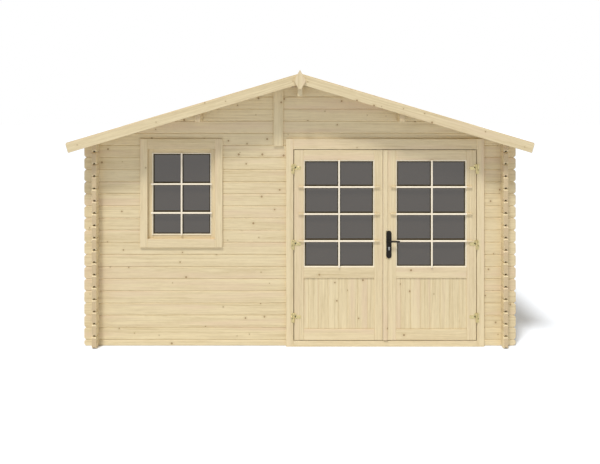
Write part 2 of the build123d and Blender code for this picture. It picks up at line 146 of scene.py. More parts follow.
# Handle
PLATE_EDGE = 0.004
PLATE_SCREW_INSET = 0.022
PLATE_SCREW_RADIUS = 0.0045
COLLAR_RADIUS = 0.0115
COLLAR_DEPTH = 0.006
LEVER_BEND = 0.016
LEVER_NECK = 0.0085
LEVER_HALF_HEIGHT = 0.0080
LEVER_BEND_HALF_DEPTH = 0.0072
LEVER_HALF_DEPTH = 0.0060
LEVER_TIP = ((0.25, 1.0), (0.5, 1.0), (0.75, 1.0), (0.92, 0.9), (0.98, 0.65), (1.0, 0.3))
LEVER_SQUARENESS = 0.6
LEVER_SIDES = 20
KEY_RADIUS = 0.0085
KEY_WEB_HALF = 0.005
KEY_EDGE = 0.0012

# Places that come from the frame
AXES = (0, 1, 2)
ALONG_X, ALONG_Y, ALONG_Z = AXES
front_low, front_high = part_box("front_gable")
side_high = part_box("right_wall")[1]
roof_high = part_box("roof_right")[1]
WALL_FACE, WALL_BACK = front_low.y, front_high.y
FRONT_END = front_high.x
SIDE_END = side_high.y
SIDE_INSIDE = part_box("floor_bearers")[1].x
SIDE_OUTSIDE = SIDE_INSIDE + LOG_THICKNESS
ROOF_END = roof_high.y
ROOF_TOP = roof_high.z
UNDER_APEX = ROOF_TOP - ROOF_THICKNESS / math.cos(ROOF_SLOPE)
SLOPE_LENGTH = roof_high.x / math.cos(ROOF_SLOPE)
SLACK = 1e-5

# How a timber lies: the axis that its grain follows, and the axis across its wide face
UPRIGHT = (ALONG_Z, ALONG_X)
LEVEL = (ALONG_X, ALONG_Z)
FLAT = (ALONG_X, ALONG_Y)
INWARD = (ALONG_Y, ALONG_Z)

# What the walls cross, as (low, high) along them, and the height of their first log joint
GABLE_WALL = (((-SIDE_OUTSIDE, -SIDE_INSIDE), (SIDE_INSIDE, SIDE_OUTSIDE)), LOG_PITCH / 2)
SIDE_WALL = (((WALL_FACE, WALL_BACK), (-WALL_BACK, -WALL_FACE)), LOG_PITCH)

# The wood that timbers are cut from: its length, and how far off a timber's middle the pith lies
WOOD_RUN = 60
PITH_SIDE = 0.04
PITH_NEAR = 0.03
PITH_FAR = 0.09


def under_roof(x):
    """Height of the roof boards' underside."""
    return UNDER_APEX - math.tan(ROOF_SLOPE) * abs(x)


def spans_of(node):
    """A node's low and high sides along X, along Y and along Z."""
    return list(zip(*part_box(node)))


def edges_of(node):
    x, _, z = spans_of(node)
    return (*x, *z)


def depths_of(node):
    return spans_of(node)[ALONG_Y]


def grown(edges, wider, taller):
    x_low, x_high, z_low, z_high = edges
    return x_low - wider, x_high + wider, z_low - taller, z_high + taller


def about(middle, width):
    return middle - width / 2, middle + width / 2


def joint_place(name):
    return [joint for joint in frame["joints"] if joint["name"] == name][0]["pos_m"]


# Shapes
def loft(rings):
    """Points and faces of a closed form through rings that have as many points each."""
    count = len(rings[0])
    points = [point for ring in rings for point in ring]
    last = len(points) - count
    faces = [list(range(count)), [last + index for index in range(count)]]
    for first in range(0, last, count):
        for index in range(count):
            after = (index + 1) % count
            faces.append([first + index, first + after, first + after + count, first + index + count])
    return points, faces


def cut_rectangle(low_a, high_a, low_b, high_b, edge):
    """A rectangle with cut corners, as eight flat points."""
    return [
        (low_a + edge, low_b), (high_a - edge, low_b),
        (high_a, low_b + edge), (high_a, high_b - edge),
        (high_a - edge, high_b), (low_a + edge, high_b),
        (low_a, high_b - edge), (low_a, low_b + edge),
    ]


def cut_end(low_a, high_a, low_b, high_b, edge):
    """The smaller rectangle of a board's end."""
    return cut_rectangle(low_a + edge, high_a - edge, low_b + edge, high_b - edge, edge * END_EDGE_SHARE)


def set_across(axis, place_along, flat):
    """Flat points set across an axis at a place along it."""
    return [(*point[:axis], place_along, *point[axis:]) for point in flat]


def add_object(name, data):
    made = bpy.data.objects.new(name, data)
    scene.collection.objects.link(made)
    return made


def mesh_object(name, work, material):
    """The object made of a finished bmesh and one material."""
    bmesh.ops.recalc_face_normals(work, faces=work.faces)
    mesh = bpy.data.meshes.new(name)
    work.to_mesh(mesh)
    work.free()
    mesh.materials.append(material)
    return add_object(name, mesh)


def place(piece, body, slot, *nodes):
    """Sets a finished piece on its body, in the stead of CAD nodes."""
    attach(piece, body)
    if nodes:
        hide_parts(*nodes)


class Timbers:
    """Timbers gathered into one piece. Each point keeps its place in the wood that it was cut from."""

    def __init__(self, seed):
        self.corners = []
        self.faces = []
        self.chance = random.Random(seed)

    def add(self, shape, lie, turn=None, sawn_ends=True):
        """Adds one timber, whose shape starts with its two end faces."""
        points, faces = shape
        along, wide = lie
        thin = sum(AXES) - along - wide
        first = len(self.corners)
        tone = self.chance.random()
        start = self.chance.uniform(0, WOOD_RUN)
        middle = [sum(p[axis] for p in points) / len(points) for axis in AXES]
        pith_side = self.chance.uniform(-PITH_SIDE, PITH_SIDE)
        pith_depth = self.chance.choice((-1, 1)) * self.chance.uniform(PITH_NEAR, PITH_FAR)
        for p in points:
            side = p[wide] - middle[wide] + pith_side
            depth = p[thin] - middle[thin] + pith_depth
            point = turn @ Vector(p) if turn else Vector(p)
            self.corners.append((point, (p[along] + start, side, depth), tone))
        for index, face in enumerate(faces):
            end = 1.0 if sawn_ends and index < 2 else 0.0
            self.faces.append(([first + point for point in face], end))

    def board(self, x, y, z, lie, edge=BOARD_EDGE, turn=None, sawn_ends=True):
        """Adds a straight board with eased edges. x, y and z are its low and high sides."""
        across = [x, y, z]
        low, high = across.pop(lie[0])
        full = cut_rectangle(*across[0], *across[1], edge)
        end = cut_end(*across[0], *across[1], edge)
        stations = ((low, end), (low + edge, full), (high - edge, full), (high, end))
        rings = [set_across(lie[0], place_along, flat) for place_along, flat in stations]
        self.add(loft(rings), lie, turn, sawn_ends)

    def piece(self, name, material, roof_cut=False):
        """The finished object, cut to the roof's underside if asked."""
        work = bmesh.new()
        wood_layer = work.verts.layers.float_vector.new("wood")
        tone_layer = work.verts.layers.float.new("tone")
        end_layer = work.faces.layers.float.new("end_grain")
        corners = []
        for point, wood, tone in self.corners:
            corner = work.verts.new(point)
            corner[wood_layer] = wood
            corner[tone_layer] = tone
            corners.append(corner)
        for face, end in self.faces:
            work.faces.new([corners[index] for index in face])[end_layer] = end
        if roof_cut:
            cut_to_roof(work)
        return mesh_object(name, work, material)

    def finish(self, name, surface, body, *nodes, roof_cut=False):
        """Makes the piece and sets it on its body. A surface is a material and its slot; the slot is not
        used.
        """
        material, slot = surface
        place(self.piece(name, material, roof_cut), body, slot, *nodes)


def cut_to_roof(work):
    """Takes off what stands above the roof boards' underside."""
    for side in (-1, 1):
        bmesh.ops.bisect_plane(
            work,
            geom=work.verts[:] + work.edges[:] + work.faces[:],
            plane_co=(0, 0, UNDER_APEX),
            plane_no=(side * math.sin(ROOF_SLOPE), 0, math.cos(ROOF_SLOPE)),
            clear_outer=True,
        )
        open_edges = [edge for edge in work.edges if edge.is_boundary]
        bmesh.ops.holes_fill(work, edges=open_edges)


# Materials
class Wiring:
    """Short ways to add and join the nodes of one tree."""

    def __init__(self, tree):
        self.tree = tree

    def node(self, kind, **settings):
        made = self.tree.nodes.new(kind)
        for name, value in settings.items():
            setattr(made, name, value)
        return made

    def put(self, socket, value):
        """Joins a socket to another, or sets it to a value."""
        if isinstance(value, bpy.types.NodeSocket):
            self.tree.links.new(value, socket)
        elif value is not None:
            socket.default_value = value

    def fill(self, node, values):
        """Joins or sets a node's inputs by their names or places."""
        for name, value in values.items():
            self.put(node.inputs[name], value)
        return node

    def maths(self, operation, *values):
        made = self.node("ShaderNodeMath", operation=operation)
        return self.fill(made, dict(enumerate(values))).outputs[0]

    def times(self, first, second):
        return self.maths("MULTIPLY", first, second)

    def centred(self, value):
        return self.maths("SUBTRACT", value, 0.5)

    def vector(self, x, y=0.0, z=0.0):
        return self.fill(self.node("ShaderNodeCombineXYZ"), {0: x, 1: y, 2: z}).outputs[0]

    def blend(self, share, first, second):
        made = self.node("ShaderNodeMix", data_type="RGBA", blend_type="MIX", clamp_factor=True)
        return self.fill(made, {"Factor": share, "A": first, "B": second}).outputs["Result"]

    def stretch(self, value, low, high, to_low=0.0, to_high=1.0):
        made = self.node("ShaderNodeMapRange", interpolation_type="SMOOTHSTEP")
        return self.fill(made, dict(enumerate((value, low, high, to_low, to_high)))).outputs[0]

    def cloud(self, vector, size, detail, roughness):
        made = self.node("ShaderNodeTexNoise", noise_dimensions="3D")
        values = {"Vector": vector, "Scale": size, "Detail": detail, "Roughness": roughness}
        return self.fill(made, values).outputs["Fac"]

    def surface_cloud(self, size, detail, roughness=0.5):
        """Noise that stays put on a piece."""
        where = self.node("ShaderNodeTexCoord").outputs["Object"]
        return self.cloud(where, size, detail, roughness)

    def bump(self, height, strength, distance):
        made = self.node("ShaderNodeBump")
        return self.fill(made, {"Height": height, "Strength": strength, "Distance": distance}).outputs[0]


END_GRAIN = (0.585, 0.445, 0.265, 1)
KNOT_COLOUR = (0.25, 0.13, 0.05, 1)
KNOT_CELLS = 5.5  # places a metre, each way, that may hold a knot
KNOT_LEAST = 0.0035  # the least radius of a knot, and what chance adds to it
KNOT_MORE = 0.007
KNOT_PUSH = 0.006
TONE_SPREAD = 57.0  # how far a timber's tone can move it in the noise
RING_WAVER = 0.022
RING_BANDS = 120.0
RING_LINES = 1500.0


def make_spruce_grain():
    """Growth rings, streaks and knots of one timber, from its place in the wood."""
    group = bpy.data.node_groups.new("spruce_grain", "ShaderNodeTree")
    for way, kind, labels in (
        ("INPUT", "NodeSocketVector", ("Wood",)),
        ("INPUT", "NodeSocketFloat", ("Tone", "End", "Knots")),
        ("INPUT", "NodeSocketColor", ("Pale", "Late", "Pink")),
        ("OUTPUT", "NodeSocketColor", ("Color",)),
        ("OUTPUT", "NodeSocketFloat", ("Roughness", "Height")),
    ):
        for label in labels:
            group.interface.new_socket(label, in_out=way, socket_type=kind)
    w = Wiring(group)
    given = w.node("NodeGroupInput").outputs
    wood, tone = given["Wood"], given["Tone"]
    run, side, depth = w.fill(w.node("ShaderNodeSeparateXYZ"), {0: wood}).outputs
    apart = w.times(tone, TONE_SPREAD)
    shift = w.vector(apart, 0.0, apart)

    def streaky(along, across, detail=2.0, roughness=0.6, moved=shift):
        """Noise of a fineness along the grain and across it."""
        made = w.node("ShaderNodeVectorMath", operation="MULTIPLY_ADD")
        w.fill(made, {0: wood, 1: (along, across, across), 2: moved})
        return w.cloud(made.outputs[0], 1.0, detail, roughness)

    # Knots
    cells = w.node("ShaderNodeTexVoronoi", voronoi_dimensions="2D", feature="F1")
    knot_place = w.vector(run, w.maths("ADD", side, apart))
    w.fill(cells, {"Vector": knot_place, "Scale": KNOT_CELLS, "Randomness": 1.0})
    chance = w.fill(w.node("ShaderNodeSeparateColor"), {0: cells.outputs["Color"]}).outputs
    present = w.maths("LESS_THAN", chance[0], given["Knots"])
    from_knot = w.maths("DIVIDE", cells.outputs["Distance"], KNOT_CELLS)
    relative = w.maths("DIVIDE", from_knot, w.maths("MULTIPLY_ADD", chance[1], KNOT_MORE, KNOT_LEAST))
    knot = w.times(w.stretch(relative, 1.15, 0.75), present)
    halo = w.times(w.stretch(relative, 4.0, 0.9), present)
    # Growth rings, pushed aside round a knot
    bent_side = w.maths("ADD", side, w.times(halo, KNOT_PUSH))
    squares = w.maths("ADD", w.times(bent_side, bent_side), w.times(depth, depth))
    waver = streaky(1.3, 6.0, roughness=0.5)
    radius = w.maths("MULTIPLY_ADD", waver, RING_WAVER, w.maths("SQRT", squares))
    ring_place = w.vector(w.times(radius, RING_BANDS), w.times(run, 0.35), apart)
    bands = w.cloud(ring_place, 1.0, 2.0, 0.6)
    lines = w.maths("MULTIPLY_ADD", w.maths("SINE", w.times(radius, RING_LINES)), 0.5, 0.5)
    # Streaks, and how much each layer darkens the wood
    fibres = streaky(6.0, 260.0, roughness=0.5, moved=None)
    late = w.times(w.stretch(bands, 0.35, 0.75), 0.42)
    for layer, weight in (
        (lines, 0.10),
        (w.stretch(streaky(1.6, 42.0, 3.0, 0.55), 0.45, 0.8), 0.32),
        (w.centred(fibres), 0.25),
        (w.centred(streaky(3.0, 95.0)), 1.10),
        (w.centred(streaky(15.0, 75.0)), 0.60),
        (w.centred(tone), 0.22),
    ):
        late = w.maths("MULTIPLY_ADD", layer, weight, late)
    pink_share = w.times(w.stretch(streaky(0.8, 9.0, roughness=0.5), 0.5, 0.72), 0.5)
    colour = w.blend(late, given["Pale"], given["Late"])
    for share, other in (
        (pink_share, given["Pink"]),
        (w.times(given["End"], 0.85), END_GRAIN),
        (w.times(halo, 0.35), given["Late"]),
        (w.times(knot, 0.7), KNOT_COLOUR),
    ):
        colour = w.blend(share, colour, other)
    relief = w.maths("MULTIPLY_ADD", lines, 0.3, w.times(fibres, 0.7))
    ready = {
        "Color": colour,
        "Roughness": w.maths("MULTIPLY_ADD", fibres, 0.2, 0.5),
        "Height": w.maths("SUBTRACT", relief, knot),
    }
    w.fill(w.node("NodeGroupOutput"), ready)
    return group


def new_material(name):
    material = bpy.data.materials.new(name)
    material.use_nodes = True
    material.node_tree.nodes.clear()
    wiring = Wiring(material.node_tree)
    shader = wiring.node("ShaderNodeBsdfPrincipled")
    wiring.fill(wiring.node("ShaderNodeOutputMaterial"), {"Surface": shader.outputs[0]})
    return material, wiring, shader


grain = make_spruce_grain()
PALE = (0.787, 0.657, 0.415)
LATE = (0.583, 0.453, 0.250)
PINK = (0.72, 0.54, 0.375)


def spruce(name, slot, knots, pale=PALE, late=LATE, pink=PINK):
    """Planed bare spruce. knots is the share of places that hold one."""
    material, w, shader = new_material(name)
    cut = w.node("ShaderNodeGroup")
    cut.node_tree = grain
    for label, attribute, output in (
        ("Wood", "wood", "Vector"), ("Tone", "tone", "Fac"), ("End", "end_grain", "Fac"),
    ):
        source = w.node("ShaderNodeAttribute", attribute_name=attribute)
        w.put(cut.inputs[label], source.outputs[output])
    w.fill(cut, {"Pale": (*pale, 1), "Late": (*late, 1), "Pink": (*pink, 1), "Knots": knots})
    look = {
        "Base Color": cut.outputs["Color"],
        "Roughness": cut.outputs["Roughness"],
        "Normal": w.bump(cut.outputs["Height"], 0.25, 0.0006),
        "Specular IOR Level": 0.25,
    }
    w.fill(shader, look)
    return material, slot


def metal(slot, colour, metallic, roughness, fineness, gloss=0.5):
    """Worked metal with uneven polish and fine marks."""
    material, w, shader = new_material(slot)
    marks = w.surface_cloud(fineness, 4.0, 0.65)
    darker = [value * 0.72 for value in colour]
    look = {
        "Base Color": w.blend(w.stretch(marks, 0.25, 0.75), (*darker, 1), (*colour, 1)),
        "Roughness": w.stretch(marks, 0.3, 0.7, *roughness),
        "Normal": w.bump(marks, 0.15, 0.0003),
        "Metallic": metallic,
        "Specular IOR Level": gloss,
    }
    w.fill(shader, look)
    return material, slot


def dark_glass(name):
    """Double glazing before a dark room. Its two panes mirror about twice as much as one."""
    material, w, shader = new_material(name)
    waves = w.surface_cloud(1.7, 1.0)
    look = {
        "Base Color": w.blend(waves, (0.043, 0.035, 0.026, 1), (0.049, 0.040, 0.030, 1)),
        "Normal": w.bump(waves, 0.02, 0.001),
        "Roughness": 0.04,
        "IOR": 1.90,
        "Specular Tint": (1.0, 0.94, 0.88, 1),
        "Transmission Weight": 0.10,
    }
    w.fill(shader, look)
    return material


def glazing_seal(name):
    """The dark brown strip that beds the panes."""
    material, w, shader = new_material(name)
    dust = w.surface_cloud(40.0, 3.0)
    look = {
        "Base Color": w.blend(dust, (0.054, 0.041, 0.018, 1), (0.066, 0.050, 0.022, 1)),
        "Roughness": w.stretch(dust, 0.3, 0.7, 0.5, 0.7),
        "Specular IOR Level": 0.05,
    }
    w.fill(shader, look)
    return material


logs_wood = spruce("spruce_logs", "spruce_logs", 0.50)
board_wood = spruce("spruce_boards", "spruce_boards", 0.35)
bargeboard_wood = spruce("spruce_bargeboards", "spruce_boards", 0.85)
joinery_wood = spruce("spruce_joinery", "spruce_joinery", 0.16, pale=(0.782, 0.648, 0.411))
panel_wood = spruce("spruce_panels", "spruce_joinery", 0.50)
# Beads in a paler wood than the spruce they are: painted highlight, so that they show as bright lines
# round the panes. The same pale wood is painted light in the gap between the leaves
bead_wood_painted_light = spruce(
    "spruce_beads", "spruce_joinery", 0.0, (0.86, 0.77, 0.59), (0.79, 0.68, 0.48), (0.81, 0.69, 0.52),
)
# Bars in a still paler wood: painted highlight, so that they show bright over the dark panes. The leaves'
# bar feet over the stiles keep the joinery wood
bar_wood_painted_highlight = spruce(
    "spruce_bars", "spruce_joinery", 0.0, (0.935, 0.835, 0.665), (0.865, 0.75, 0.555), (0.88, 0.76, 0.595),
)
floor_wood = spruce("floor_timber", "floor_timber", 0.4, pale=(0.74, 0.60, 0.37))
brass = metal("brass", (0.75, 0.63, 0.32), 1.0, (0.22, 0.42), 90.0)
black_metal = metal("black_metal", (0.020, 0.016, 0.012), 0.0, (0.45, 0.6), 120.0, gloss=0.15)
steel = metal("steel", (0.46, 0.46, 0.44), 1.0, (0.25, 0.4), 200.0)
glass = dark_glass("pane_glass")
seal = glazing_seal("glazing_seal")


# Log walls. Each is drawn along X about Y = 0, and then turned to its place.
def log_ring(x, low, high, half=LOG_THICKNESS / 2, bevel=LOG_BEVEL, groove=GROOVE_DEPTH, gap=TONGUE_GAP):
    """A log's outline at one place along it, with the groove below and the tongue's gap above."""
    c = GROOVE_HALF
    groove = max(groove, LEAST_DEPTH)
    gap = max(gap, LEAST_DEPTH)
    flat = [
        (bevel - half, low), (-c, low), (-c, low + groove), (c, low + groove), (c, low),
        (half - bevel, low), (half, low + bevel), (half, high - bevel), (half - bevel, high),
        (c, high), (c, high - gap), (-c, high - gap), (-c, high),
        (bevel - half, high), (-half, high - bevel), (-half, low + bevel),
    ]
    return set_across(ALONG_X, x, flat)


def free_end(x_end, out, low, high):
    """Rings of a log's rounded free end, from the full log outwards. The groove stays
    level, so it opens in the notch between two logs."""
    rings = []
    for along, rise in END_STEPS:
        x = x_end - out * END_DEPTH * (1 - along)
        side = max(0.0, along - END_SIDE_START) / (1 - END_SIDE_START) * END_SIDE
        lift = rise * END_RISE
        depths = {"groove": GROOVE_DEPTH - lift, "gap": TONGUE_GAP - lift}
        rings.append(log_ring(x, low + lift, high - lift, LOG_THICKNESS / 2 - side, **depths))
    return rings


def neck_heights(low, high, first_joint):
    """The middle half of a whole log's height, within a log that may be cut."""
    index = math.floor((low - first_joint) / LOG_PITCH + 0.5)
    middle = first_joint + LOG_PITCH * (index + 0.5)
    neck_low, neck_high = about(middle, LOG_PITCH / 2)
    return max(low, neck_low), min(high, neck_high)


def log(timbers, start, finish, low, high, free, wall, turn):
    """One log from end to end, rounded at its free ends and thinned to its neck where
    another wall crosses it."""
    crossings, first_joint = wall
    neck = neck_heights(low, high, first_joint)
    thin = {"bevel": LEAST_DEPTH, "groove": LEAST_DEPTH, "gap": LEAST_DEPTH}
    rings = free_end(start, -1, low, high)[::-1] if -1 in free else [log_ring(start, low, high)]
    for first, last in crossings:
        if start < first and last < finish:
            necks = [log_ring(x, *neck, **thin) for x in (first, last)]
            rings += [log_ring(first, low, high), *necks, log_ring(last, low, high)]
    rings += free_end(finish, 1, low, high) if 1 in free else [log_ring(finish, low, high)]
    timbers.add(loft(rings), LEVEL, turn)


def course_heights(low, high, first_joint):
    """Bottoms and tops of the logs between two heights."""
    heights = [low]
    joint = first_joint
    while joint < high - SLACK:
        if joint > low + SLACK:
            heights.append(joint)
        joint += LOG_PITCH
    return list(zip(heights, heights[1:] + [high]))


def purlin_seats():
    """Each purlin's two sides and the height of its underside."""
    ridge_low, ridge_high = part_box("ridge_purlin")
    beam_low, beam_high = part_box("side_purlins")
    width = ridge_high.x - ridge_low.x
    return [
        (beam_low.x, beam_low.x + width, beam_low.z),
        (ridge_low.x, ridge_high.x, ridge_low.z),
        (beam_high.x - width, beam_high.x, beam_low.z),
    ]


def gable_top(timbers, turn):
    """The logs over the openings, parted where a purlin passes."""
    first_joint = GABLE_WALL[1]
    for bottom, top in course_heights(front_low.z, UNDER_APEX, first_joint):
        reach = min(FRONT_END, (UNDER_APEX - bottom) / math.tan(ROOF_SLOPE))
        stops = [-reach]
        for low, high, seat in purlin_seats():
            if seat < top - SLACK and -reach < low and high < reach:
                stops += [low, high]
        stops.append(reach)
        for start, finish in zip(stops[::2], stops[1::2]):
            free = [out for out, x in ((-1, start), (1, finish)) if abs(x) == FRONT_END]
            log(timbers, start, finish, bottom, top, free, GABLE_WALL, turn)


def make_walls():
    front = Matrix.Translation((0, (WALL_FACE + WALL_BACK) / 2, 0))
    back = Matrix.Rotation(math.pi, 4, "Z") @ front
    walls = (
        ("front_wall_low", (-1,), front),
        ("front_wall_left", (-1,), front),
        ("front_wall_middle", (), front),
        ("front_wall_right", (1,), front),
        ("back_wall", (-1, 1), back),
    )
    for seed, (node, free, turn) in enumerate(walls, 11):
        low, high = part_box(node)
        timbers = Timbers(seed)
        for bottom, top in course_heights(low.z, high.z, GABLE_WALL[1]):
            log(timbers, low.x, high.x, bottom, top, free, GABLE_WALL, turn)
        timbers.finish(node + "_logs", logs_wood, "cabin", node)
    for seed, (node, turn) in enumerate((("front_gable", front), ("back_gable", back)), 31):
        timbers = Timbers(seed)
        gable_top(timbers, turn)
        timbers.finish(node + "_logs", logs_wood, "cabin", node, roof_cut=True)
    for seed, (node, side) in enumerate((("right_wall", 1), ("left_wall", -1)), 41):
        timbers = Timbers(seed)
        middle = side * (SIDE_INSIDE + LOG_THICKNESS / 2)
        turn = Matrix.Translation((middle, 0, 0)) @ Matrix.Rotation(math.pi / 2, 4, "Z")
        whole = LOG_PITCH * math.floor(side_high.z / LOG_PITCH)
        courses = course_heights(0, whole, SIDE_WALL[1])
        courses[-1] = (courses[-1][0], under_roof(SIDE_INSIDE) + TOP_LOG_SPARE)
        for bottom, top in courses:
            log(timbers, -SIDE_END, SIDE_END, bottom, top, (-1, 1), SIDE_WALL, turn)
        timbers.finish(node + "_logs", logs_wood, "cabin", node, roof_cut=True)


# Roof
def slope_turn(side):
    """Sets what is drawn down a slope: X down the slope, Y along the roof, Z up from its top."""
    slope = Matrix.Translation((0, 0, ROOF_TOP)) @ Matrix.Rotation(ROOF_SLOPE, 4, "Y")
    return slope if side > 0 else Matrix.Scale(-1, 4, (1, 0, 0)) @ slope


def sloped_timber(timbers, y, z, side, lie):
    """A timber down the slope, cut plumb at the ridge and square at the eave."""
    full = cut_rectangle(*y, *z, BOARD_EDGE)
    rings = [
        [(-below * math.tan(ROOF_SLOPE), along, below) for along, below in full],
        set_across(ALONG_X, SLOPE_LENGTH - BOARD_EDGE, full),
        set_across(ALONG_X, SLOPE_LENGTH, cut_end(*y, *z, BOARD_EDGE)),
    ]
    timbers.add(loft(rings), lie, slope_turn(side))


def make_roof():
    boards = round(2 * ROOF_END / ROOF_BOARD)
    step = 2 * ROOF_END / boards
    for seed, (node, side) in enumerate((("roof_right", 1), ("roof_left", -1)), 51):
        timbers = Timbers(seed)
        for index in range(boards):
            start = -ROOF_END + step * index
            sloped_timber(timbers, (start, start + step), (-ROOF_THICKNESS, 0), side, FLAT)
        timbers.finish(node + "_boards", board_wood, "cabin", node)
    bargeboards = [(end, side) for end in ("front", "back") for side in ("right", "left")]
    for seed, (end, side) in enumerate(bargeboards, 61):
        node = end + "_" + side + "_bargeboard"
        out = -1 if end == "front" else 1
        y = sorted((out * ROOF_END, out * (ROOF_END + BARGE_THICKNESS)))
        timbers = Timbers(seed)
        z = (-BARGE_DROP - BARGE_WIDTH, -BARGE_DROP)
        sloped_timber(timbers, y, z, 1 if side == "right" else -1, LEVEL)
        timbers.finish(node + "_timber", bargeboard_wood, "cabin", node)
    timbers = Timbers(71)
    x = (SLOPE_LENGTH - EAVE_THICKNESS, SLOPE_LENGTH)
    z = (-ROOF_THICKNESS - EAVE_DEPTH, -ROOF_THICKNESS)
    for side in (-1, 1):
        timbers.board(x, (-ROOF_END, ROOF_END), z, INWARD, turn=slope_turn(side))
    timbers.finish("eave_strip_timbers", board_wood, "cabin", "eave_strips")


def make_purlins():
    left, ridge, right = purlin_seats()
    purlins = (
        ("ridge_purlin_timber", "ridge_purlin", (ridge,), False),
        ("side_purlin_timbers", "side_purlins", (left, right), True),
    )
    for seed, (name, node, seats, dark_ends) in enumerate(purlins, 75):
        timbers = Timbers(seed)
        for low, high, seat in seats:
            z = (seat, UNDER_APEX + PURLIN_SPARE)
            timbers.board((low, high), (-ROOF_END, ROOF_END), z, INWARD, sawn_ends=dark_ends)
        timbers.finish(name, board_wood, "cabin", node, roof_cut=True)


def make_finials():
    """The flat pointed boards over the bargeboards' joint."""
    low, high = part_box("finials")
    half_height = FINIAL_HEIGHT / 2
    foot = high.z - FINIAL_HEIGHT + half_height * FINIAL_FOOT_HALF / FINIAL_HALF

    def outline(y, inset):
        """The board's outline, drawn in by an inset, and by twice as much at its sharp top."""
        wide = FINIAL_HALF - inset
        narrow = FINIAL_FOOT_HALF - inset * 0.6
        return [
            (0, y, high.z - inset * 2),
            (wide, y, high.z - half_height),
            (narrow, y, foot + inset),
            (-narrow, y, foot + inset),
            (-wide, y, high.z - half_height),
        ]

    timbers = Timbers(79)
    for face, inward in ((low.y, 1), (high.y, -1)):
        edge_y, back_y = face + inward * BOARD_EDGE, face + inward * FINIAL_THICKNESS
        rings = [outline(face, BOARD_EDGE), outline(edge_y, 0), outline(back_y, 0)]
        timbers.add(loft(rings), UPRIGHT, sawn_ends=False)
    timbers.finish("finial_boards", board_wood, "cabin", "finials")


def make_cover_board():
    x, y, z = spans_of("gable_cover_board")
    timbers = Timbers(81)
    timbers.board(x, y, (z[0], UNDER_APEX), UPRIGHT)
    timbers.finish("cover_board_timber", board_wood, "cabin", "gable_cover_board", roof_cut=True)


# Frames round an opening. Edges are low and high X, and low and high Z.
def mitred_frame(timbers, edges, section):
    """Four sticks with mitred corners. The section is (inset, y) points: how far in from
    the edges, and where in depth."""
    x_low, x_high, z_low, z_high = edges

    def corner(x, right, z, up):
        return [(x + right * inset, y, z + up * inset) for inset, y in section]

    low_left, low_right = corner(x_low, 1, z_low, 1), corner(x_high, -1, z_low, 1)
    high_left, high_right = corner(x_low, 1, z_high, -1), corner(x_high, -1, z_high, -1)
    for start, finish, lie in (
        (low_left, low_right, LEVEL),
        (high_left, high_right, LEVEL),
        (low_left, high_left, UPRIGHT),
        (low_right, high_right, UPRIGHT),
    ):
        timbers.add(loft([start, finish]), lie)


def framed_boards(timbers, outer, inner, y):
    """Uprights from top to bottom, with the cross pieces between them."""
    x_low, x_high, z_low, z_high = inner
    for x in ((outer[0], x_low), (x_high, outer[1])):
        timbers.board(x, y, outer[2:], UPRIGHT)
    for z in ((outer[2], z_low), (z_high, outer[3])):
        timbers.board((x_low, x_high), y, z, LEVEL)


def glazing_bars(timbers, edges, middle, heights, y):
    """Thin bars over a pane: one upright, and the cross bars halved into it."""
    x_low, x_high, z_low, z_high = edges
    left, right = about(middle, BAR_WIDTH)
    timbers.board((left, right), y, (z_low, z_high), UPRIGHT, BAR_EDGE)
    for height in heights:
        for x in ((x_low, left), (right, x_high)):
            timbers.board(x, y, about(height, BAR_WIDTH), LEVEL, BAR_EDGE)


def pane_seal(name, body, node, middle, heights):
    """The dark bedding round a pane and behind its bars, on the outer face."""
    x_low, x_high, z_low, z_high = edges_of(node)
    face = depths_of(node)[0]
    front = face - SEAL_PROUD
    strips = Timbers(5)
    section = [(0, face), (0, front), (SEAL_WIDTH, front), (SEAL_WIDTH, face)]
    mitred_frame(strips, (x_low, x_high, z_low, z_high), section)
    left, right = about(middle, BAR_WIDTH + 2 * BEDDING_SIDE)
    strips.board((left, right), (front, face), (z_low, z_high), UPRIGHT, SEAL_EDGE)
    for height in heights:
        low, high = about(height, BAR_WIDTH)
        z = (low - BEDDING_BELOW, high + BEDDING_ABOVE)
        for x in ((x_low, left), (right, x_high)):
            strips.board(x, (front, face), z, LEVEL, SEAL_EDGE)
    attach(strips.piece(name, seal), body)


def make_window():
    outer, clear, pane = (edges_of("window_" + part) for part in ("trim", "sash", "glass"))
    sash_y = depths_of("window_sash")
    hole_sides = (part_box("front_wall_left")[1].x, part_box("front_wall_middle")[0].x)
    hole = (*hole_sides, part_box("front_wall_low")[1].z, front_low.z)
    timbers = Timbers(91)
    framed_boards(timbers, outer, clear, depths_of("window_trim"))
    timbers.finish("window_trim_boards", joinery_wood, "cabin", "window_trim")
    timbers = Timbers(92)
    framed_boards(timbers, hole, clear, (WALL_FACE, WALL_BACK))
    framed_boards(timbers, outer, clear, (WALL_BACK, depths_of("window_casing")[1]))
    timbers.finish("window_casing_boards", joinery_wood, "cabin", "window_casing")
    timbers = Timbers(93)
    framed_boards(timbers, clear, pane, sash_y)
    timbers.finish("window_sash_timbers", joinery_wood, "cabin", "window_sash")
    # The beads carry painted highlight in the pale bead wood
    timbers = Timbers(95)
    for face, out in zip(sash_y, (-1, 1)):
        mitred_frame(timbers, pane, [(inset, face + out * proud) for inset, proud in WINDOW_BEAD])
    timbers.finish("window_beads", bead_wood_painted_light, "cabin")
    middle = (pane[0] + pane[1]) / 2
    face = sash_y[0] - WINDOW_BEAD_PROUD
    # The bars carry painted highlight in the pale bar wood
    timbers = Timbers(94)
    for y in ((face - BAR_DEPTH, face), (sash_y[1], sash_y[1] + BAR_DEPTH)):
        glazing_bars(timbers, grown(pane, *WINDOW_BAR_ENDS), middle, WINDOW_BARS, y)
    timbers.finish("window_bars", bar_wood_painted_highlight, "cabin")
    pane_seal("window_pane_seal", "cabin", "window_glass", middle, WINDOW_BARS)


